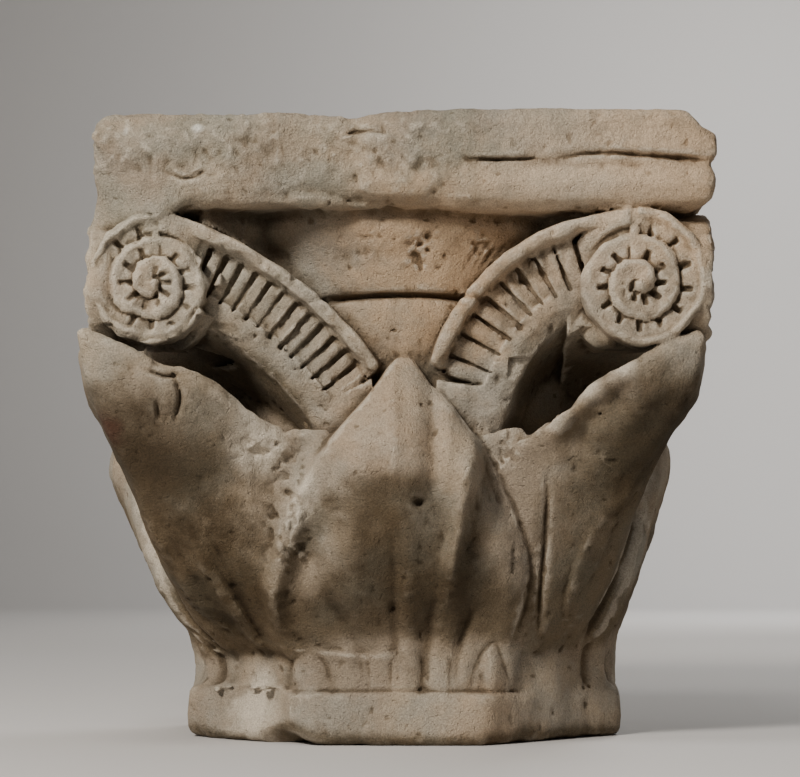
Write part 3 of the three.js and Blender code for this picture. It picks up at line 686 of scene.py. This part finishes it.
class Skin:
    """The cells close to the surface, where the wear is worked out."""

    def __init__(self, field, grid, depth):
        self.field = field
        self.grid = grid
        self.cells = np.nonzero(np.abs(field) < depth)
        self.x, self.y, self.z = (
            np.asarray(axis, np.float32)[cell] for axis, cell in zip(grid.axes, self.cells))

    def noise(self, spacing, seed):
        """Smooth random values, about -1 to 1, that change over a spacing."""
        random = np.random.default_rng(seed)
        bases, shares, sizes = [], [], []
        for axis in self.grid.axes:
            place = (axis - axis[0]) / spacing + 0.37
            base = np.floor(place).astype(np.int32)
            share = (place - base).astype(np.float32)
            bases.append(base)
            shares.append(share * share * (3 - 2 * share))
            sizes.append(int(base[-1]) + 2)
        table = random.uniform(-1, 1, sizes).astype(np.float32).ravel()
        i, j, k = (base[cell] for base, cell in zip(bases, self.cells))
        a, b, c = (share[cell] for share, cell in zip(shares, self.cells))
        row, layer = sizes[2], sizes[1] * sizes[2]
        start = i * layer + j * row + k

        def along_z(first):
            return table[first] * (1 - c) + table[first + 1] * c

        near = along_z(start) * (1 - b) + along_z(start + row) * b
        far = along_z(start + layer) * (1 - b) + along_z(start + layer + row) * b
        return near * (1 - a) + far * a

    def add(self, amount):
        self.field[self.cells] += amount


def roughen(field, grid):
    """Breaks the stone's skin: rock-like on the abacus, softer below, with chips along the edges."""
    edge = np.clip(blurred(field, 4 * MM) - field - 0.3 * MM, 0, 2.2 * MM)
    skin = Skin(field, grid, 8 * MM)
    edge = edge[skin.cells]
    high = smooth_step(skin.z, 345 * MM, 372 * MM)
    carved = smooth_step(skin.x, 20 * MM, 60 * MM) * smooth_step(-skin.y, 120 * MM, 160 * MM)
    rock = high * (1 - 0.85 * carved)
    broad = skin.noise(27 * MM, 21)
    middle = skin.noise(11 * MM, 22)
    small = skin.noise(5 * MM, 23)
    fine = skin.noise(2.9 * MM, 24)
    chips = np.clip(skin.noise(16 * MM, 25) - 0.45, 0, 1)
    wear = edge * (0.1 + 1.0 * np.clip(middle + 0.5 * small, -0.3, 1))
    rock *= 1 - 0.6 * smooth_step(skin.z, 394 * MM, 401 * MM)
    wear += rock * (np.abs(broad) * 2.8 + np.abs(middle) * 1.6 + small * 0.9 + fine * 0.7 - 1.9) * MM
    wear += (broad * 0.8 + middle * 0.55 + small * 0.32 + fine * 0.22) * MM
    wear += np.clip(small + 0.6 * fine - 0.8, 0, 1) * (3.0 - 2.2 * rock) * MM
    wear += chips * np.abs(small) * 4 * MM
    wear -= high * carved * 0.8 * MM
    skin.add(wear)


def wear_top(field, grid):
    """The top bed falls away a little towards the front, and at the front right corner."""
    x, y, z = grid.axes
    near_top = smooth_step(z, 385 * MM, 400 * MM)
    near_front = smooth_step(-y, 120 * MM, 190 * MM)
    left = 1.5 * MM * smooth_step(-x, -10 * MM, 60 * MM)
    dip = 2 * MM * bell_curve(x + 28 * MM, 30 * MM)
    fall = 3 * MM * smooth_step(x, 165 * MM, 200 * MM)
    lower = (left + dip + fall)[:, None, None] * near_front[None, :, None] * near_top[None, None, :]
    field += lower.astype(np.float32)


def carved_field(grid, material):
    """The stone as a field: the solid's own form, softened, carved finer, worn and roughened."""
    points, triangles = mesh_arrays(bpy.data.objects["capital"].data)
    field = grid.field_of(points, triangles)
    soft = blurred(field, 3.4 * MM)
    crisp = blurred(field, 1.1 * MM)
    x, _, z = grid.axes
    leafy = 1 - smooth_step(z, 236 * MM, 262 * MM)
    rocky = smooth_step(-x, -40 * MM, 0)[:, None] * smooth_step(z, 340 * MM, 350 * MM)[None, :]
    softer = np.maximum(leafy[None, :], rocky).astype(np.float32)
    field = crisp + (soft - crisp) * softer[:, None, :]
    for face in FACES:
        view, across, out, up = grid.facing(field, face.turn)
        relief = Relief(across, up)
        if face.turn == 0:
            carve_front(relief)
        else:
            carve_plain(relief, 40 + face.turn)
        for scroll in face.scrolls:
            carve_stem(relief, scroll)
        own = smooth_step(ABACUS_HALF * 1.02 - np.abs(across), 0, 14 * MM)
        relief.cut *= own[:, None]
        relief.apply(view, out, CORE_FACE)
        bell = Relief(across, up)
        carve_bell(bell, face.turn == 0)
        behind = slice(int(np.argmax(out < BELL_FACE)), None)
        bell.apply(view[:, behind], out[behind], CORE_FACE)
        for scroll in face.scrolls:
            carve_recess(view, across, out, up, relief, face, scroll)
            carve_volute(view, across, out, up, face, scroll, 60 + 10 * face.turn + scroll.hand)
        if face.turn == 0:
            carve_rim(view, across, out, up)
            chip_neck(view, across, out, up)
    cut_slots(field, grid, material)
    wear_top(field, grid)
    roughen(field, grid)
    return field


def mesh_of(points, triangles):
    """A mesh with its normals outward."""
    a, b, c = (points[triangles[:, k]].astype(float) for k in range(3))
    if np.einsum("ij,ij->i", a, np.cross(b, c)).sum() < 0:
        triangles = triangles[:, ::-1]
    mesh = bpy.data.meshes.new("carved_stone")
    mesh.vertices.add(len(points))
    mesh.vertices.foreach_set("co", points.ravel())
    mesh.loops.add(len(triangles) * 3)
    mesh.loops.foreach_set("vertex_index", np.ascontiguousarray(triangles, np.int32).ravel())
    mesh.polygons.add(len(triangles))
    mesh.polygons.foreach_set("loop_start", np.arange(0, len(triangles) * 3, 3, dtype=np.int32))
    mesh.update(calc_edges=True)
    mesh.validate()
    return mesh


def add_attributes(mesh, grid, field):
    """How proud or sunk the stone is at each point, closely and broadly, and how far its surface
    leans over below the bell, for its worn edges and for painted shade in hollows and undersides."""
    points, _ = mesh_arrays(mesh)
    soft = blurred(field, 9 * MM)
    step = 6 * MM
    slope = grid.read(soft, points + [0, 0, step]) - grid.read(soft, points - [0, 0, step])
    # painted shade on surfaces that face downwards, fading out above about 270 mm so the bell stays lit
    leaning = smooth_step(-slope / (2 * step), 0.08, 0.46)
    leaning *= smooth_step(270 * MM - points[:, 2], 0, 30 * MM)
    underside_painted_shade = mesh.attributes.new("underside_painted_shade", "FLOAT", "POINT")
    underside_painted_shade.data.foreach_set("value", leaning.astype(np.float32))
    for name, radius, broad in (("proud", 3 * MM, blurred(field, 3 * MM)), ("open", 9 * MM, soft)):
        values = grid.read(broad, points) - grid.read(field, points)
        values = np.clip(0.5 + values / radius * 1.2, 0, 1)
        attribute = mesh.attributes.new(name, "FLOAT", "POINT")
        attribute.data.foreach_set("value", values.astype(np.float32))


def keep_largest(triangles, count):
    """The triangles of the largest connected body."""
    label = np.arange(count)
    while True:
        low = label[triangles].min(1)
        new = label.copy()
        for k in range(3):
            np.minimum.at(new, triangles[:, k], low)
        new = new[new]
        if np.array_equal(new, label):
            break
        label = new
    labels, sizes = np.unique(label[triangles[:, 0]], return_counts=True)
    return triangles[label[triangles[:, 0]] == labels[sizes.argmax()]]


class Shader:
    """Short calls for the nodes of one material."""

    def __init__(self, name):
        self.material = bpy.data.materials.new(name)
        self.material.use_nodes = True
        self.tree = self.material.node_tree
        self.shader = self.tree.nodes["Principled BSDF"]
        self.place = self.tree.nodes.new("ShaderNodeTexCoord").outputs["Object"]

    def feed(self, socket, value):
        if isinstance(value, bpy.types.NodeSocket):
            self.tree.links.new(value, socket)
        elif isinstance(value, tuple) and len(value) == 3 and len(socket.default_value) == 4:
            socket.default_value = (*value, 1)
        else:
            socket.default_value = value

    def noise(self, size, detail, rough=0.55, offset=(0, 0, 0)):
        """Smooth noise whose features are about as large as the size, in metres."""
        move = self.tree.nodes.new("ShaderNodeMapping")
        move.inputs["Location"].default_value = offset
        self.feed(move.inputs["Vector"], self.place)
        node = self.tree.nodes.new("ShaderNodeTexNoise")
        node.inputs["Scale"].default_value = 1 / size
        node.inputs["Detail"].default_value = detail
        node.inputs["Roughness"].default_value = rough
        self.feed(node.inputs["Vector"], move.outputs["Vector"])
        return node.outputs["Fac"]

    def spread(self, value, low, high, to=(0.0, 1.0)):
        """The value between low and high, eased to the range of to."""
        node = self.tree.nodes.new("ShaderNodeMapRange")
        node.interpolation_type = "SMOOTHSTEP"
        self.feed(node.inputs["Value"], value)
        node.inputs["From Min"].default_value = low
        node.inputs["From Max"].default_value = high
        node.inputs["To Min"].default_value = to[0]
        node.inputs["To Max"].default_value = to[1]
        return node.outputs["Result"]

    def math(self, kind, *values):
        node = self.tree.nodes.new("ShaderNodeMath")
        node.operation = kind
        for socket, value in zip(node.inputs, values):
            self.feed(socket, value)
        return node.outputs["Value"]

    def mix(self, kind, amount, first, second):
        """Two colours mixed, through the mix node's colour inputs, the sixth and the seventh."""
        node = self.tree.nodes.new("ShaderNodeMix")
        node.data_type = "RGBA"
        node.blend_type = kind
        self.feed(node.inputs[0], amount)
        self.feed(node.inputs[6], first)
        self.feed(node.inputs[7], second)
        return node.outputs[2]

    def attribute(self, name):
        node = self.tree.nodes.new("ShaderNodeAttribute")
        node.attribute_name = name
        return node.outputs["Fac"]

    def patch(self, centre, radius):
        """1 at a place on the stone, fading to 0 at a radius, with a ragged edge."""
        node = self.tree.nodes.new("ShaderNodeVectorMath")
        node.operation = "DISTANCE"
        self.feed(node.inputs[0], self.place)
        node.inputs[1].default_value = [value * MM for value in centre]
        noise = self.noise(0.02, 4, 0.6)
        ragged = self.math("MULTIPLY_ADD", noise, radius * 1.1 * MM, -radius * 0.55 * MM)
        far = self.math("ADD", node.outputs["Value"], ragged)
        return self.spread(far, radius * MM, radius * 0.25 * MM)

    def paint(self, kind, base, colour, places):
        """The base with a colour over some places."""
        for centre, radius, strength in places:
            amount = self.math("MULTIPLY", self.patch(centre, radius), strength)
            base = self.mix(kind, amount, base, colour)
        return base


def sandstone():
    """Warm grey-brown sandstone: sandy grain, grey-green bloom above, tan tints, painted shade in the
    hollows and under the leaves.
    """
    s = Shader("weathered sandstone")
    s.shader.inputs["Roughness"].default_value = 0.93
    s.shader.inputs["Specular IOR Level"].default_value = 0.18
    height = s.tree.nodes.new("ShaderNodeSeparateXYZ")
    s.feed(height.inputs["Vector"], s.place)
    up = height.outputs["Z"]

    brown, tan, pale = (0.262, 0.212, 0.160), (0.395, 0.318, 0.232), (0.560, 0.500, 0.415)
    grey, green, warm = (0.325, 0.305, 0.262), (0.245, 0.240, 0.195), (0.46, 0.325, 0.205)
    base = s.mix("MIX", s.spread(s.noise(0.085, 5), 0.36, 0.64), brown, tan)
    base = s.mix("MIX", s.spread(s.noise(0.05, 5, 0.6, (3, 1, 2)), 0.42, 0.68, (0.0, 0.75)), base, grey)
    bloom = s.math("MULTIPLY", s.spread(s.noise(0.075, 6, 0.62, (7, 5, 1)), 0.40, 0.62),
                   s.spread(up, 0.18, 0.40, (0.1, 0.7)))
    base = s.mix("MIX", bloom, base, green)
    base = s.paint("MIX", base, warm, WARM_PLACES)
    base = s.paint("MIX", base, (0.62, 0.50, 0.375), LIGHT_PLACES)
    proud = s.attribute("proud")
    opened = s.attribute("open")
    # painted shade: surfaces that face downwards are darkened
    underside_painted_shade = s.spread(s.attribute("underside_painted_shade"), 0.0, 1.0, (0.0, 0.85))
    base = s.mix("MULTIPLY", underside_painted_shade, base, (0.33, 0.295, 0.23))
    base = s.mix("MIX", s.spread(proud, 0.56, 0.86, (0.0, 0.5)), base, pale)
    # painted shade: hollows and small creases darkened
    base = s.mix("MULTIPLY", s.spread(opened, 0.49, 0.2, (0.0, 0.85)), base, (0.42, 0.38, 0.33))
    base = s.mix("MULTIPLY", s.spread(proud, 0.46, 0.2, (0.0, 0.6)), base, (0.5, 0.46, 0.4))
    # painted shade over the lower parts of the leaves
    base = s.paint("MULTIPLY", base, (0.33, 0.29, 0.225), PAINTED_SHADE_PLACES)
    base = s.paint("MIX", base, pale, BROKEN_PLACES)
    base = s.paint("MIX", base, (0.07, 0.03, 0.02), STAINS)
    base = s.paint("MIX", base, (0.7, 0.68, 0.62), PALE_SPOTS)
    grain = s.noise(0.0011, 3, 0.65, (2, 2, 2))
    speckle = s.mix("MIX", s.spread(grain, 0.3, 0.7), (0.34, 0.33, 0.31), (0.68, 0.66, 0.62))
    base = s.mix("OVERLAY", 0.6, base, speckle)
    dark = s.spread(s.noise(0.0042, 3, 0.6, (5, 0, 3)), 0.68, 0.78, (0.0, 0.4))
    base = s.mix("MULTIPLY", dark, base, (0.42, 0.38, 0.34))
    s.feed(s.shader.inputs["Base Color"], base)

    pits = s.spread(s.noise(0.0030, 2, 0.5, (1, 8, 0)), 0.72, 0.62, (0.0, 0.8))
    sand = s.math("MULTIPLY_ADD", s.noise(0.0013, 3, 0.7), 0.9, pits)
    rougher_above = s.spread(up, 0.33, 0.38, (2.6, 5.0))
    waves = s.math("MULTIPLY_ADD", s.noise(0.009, 6, 0.8, (4, 4, 0)), rougher_above, sand)
    bump = s.tree.nodes.new("ShaderNodeBump")
    bump.inputs["Distance"].default_value = 0.0014
    bump.inputs["Strength"].default_value = 0.8
    s.feed(bump.inputs["Height"], waves)
    s.feed(s.shader.inputs["Normal"], bump.outputs["Normal"])
    return s.material


def finish_stone():
    material = sandstone()
    grid = Grid()
    field = carved_field(grid, material)
    mesh = mesh_of(*grid.surface_of(field))
    stone = bpy.data.objects.new("carved_stone", mesh)
    bpy.context.scene.collection.objects.link(stone)
    thin = stone.modifiers.new("thin", "DECIMATE")
    thin.ratio = min(1.0, MOST_TRIANGLES / len(mesh.polygons))
    evaluated = stone.evaluated_get(bpy.context.evaluated_depsgraph_get())
    thinned = bpy.data.meshes.new_from_object(evaluated)
    stone.modifiers.remove(thin)
    points, triangles = mesh_arrays(thinned)
    triangles = keep_largest(triangles, len(points))
    used, triangles = np.unique(triangles, return_inverse=True)
    stone.data = mesh_of(points[used], triangles.reshape(-1, 3))
    bpy.data.meshes.remove(mesh)
    bpy.data.meshes.remove(thinned)
    stone.data.materials.append(material)
    stone.data.polygons.foreach_set("use_smooth", np.ones(len(stone.data.polygons), bool))
    add_attributes(stone.data, grid, field)
    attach(stone, "root")
    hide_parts("capital")


def lay_floor():
    """A pale floor that sweeps up into a plain wall."""
    width, back, radius, top, front = 20.0, 4.0, 0.8, 4.0, -12.0
    profile = [(front, 0.0), (back - radius, 0.0)]
    bends = 12
    for step in range(1, bends + 1):
        angle = math.pi / 2 * step / bends
        profile.append((back - radius + radius * math.sin(angle), radius - radius * math.cos(angle)))
    profile.append((back, top))
    points = [(x, y, z) for y, z in profile for x in (-width / 2, width / 2)]
    faces = [(2 * i, 2 * i + 1, 2 * i + 3, 2 * i + 2) for i in range(len(profile) - 1)]
    mesh = bpy.data.meshes.new("floor")
    mesh.from_pydata(points, [], faces)
    mesh.polygons.foreach_set("use_smooth", [True] * len(faces))
    paint = bpy.data.materials.new("pale floor")
    paint.use_nodes = True
    shader = paint.node_tree.nodes["Principled BSDF"]
    shader.inputs["Base Color"].default_value = (0.52, 0.50, 0.48, 1)
    shader.inputs["Roughness"].default_value = 0.8
    mesh.materials.append(paint)
    floor = bpy.data.objects.new("floor", mesh)
    bpy.context.scene.collection.objects.link(floor)


def hang_light(name, place, aim, size, watts, tint=(1, 1, 1)):
    light = bpy.data.lights.new(name, "AREA")
    light.size = size
    light.energy = watts
    light.color = tint
    lamp = bpy.data.objects.new(name, light)
    lamp.location = place
    lamp.rotation_euler = (Vector(aim) - Vector(place)).to_track_quat("-Z", "Y").to_euler()
    bpy.context.scene.collection.objects.link(lamp)


def studio():
    """The floor, soft lights and the camera."""
    lay_floor()
    middle = (0, 0, 0.2)
    warm_white = (1, 0.98, 0.95)
    hang_light("key", (-1.0, -1.57, 1.25), middle, 0.40, 58, (1, 0.95, 0.885))
    hang_light("top", (-0.35, -0.75, 1.85), middle, 0.5, 9, warm_white)
    hang_light("fill", (1.8, -1.6, 0.8), middle, 1.2, 2, (0.95, 0.97, 1))
    hang_light("wall light", (1.0, 2.6, 1.2), (0.5, 4.0, 0.3), 1.2, 30)
    hang_light("back light", (0.9, 2.0, 1.5), middle, 0.8, 30, warm_white)
    hang_light("back fill", (-2.0, 1.2, 0.9), middle, 1.0, 5, warm_white)
    world = bpy.data.worlds.new("studio")
    world.use_nodes = True
    world.node_tree.nodes["Background"].inputs["Color"].default_value = (0.9, 0.95, 1, 1)
    world.node_tree.nodes["Background"].inputs["Strength"].default_value = 0.05
    bpy.context.scene.world = world

    camera = bpy.data.cameras.new("camera")
    camera.sensor_width = 36
    camera.lens = 116.1
    camera.clip_end = 50
    eye = bpy.data.objects.new("camera", camera)
    eye.location = (0.0035, -1.816, 0.133)
    eye.rotation_euler = (math.radians(90 + 3.34), 0, math.radians(0.22))
    bpy.context.scene.collection.objects.link(eye)
    bpy.context.scene.camera = eye


finish_stone()
studio()
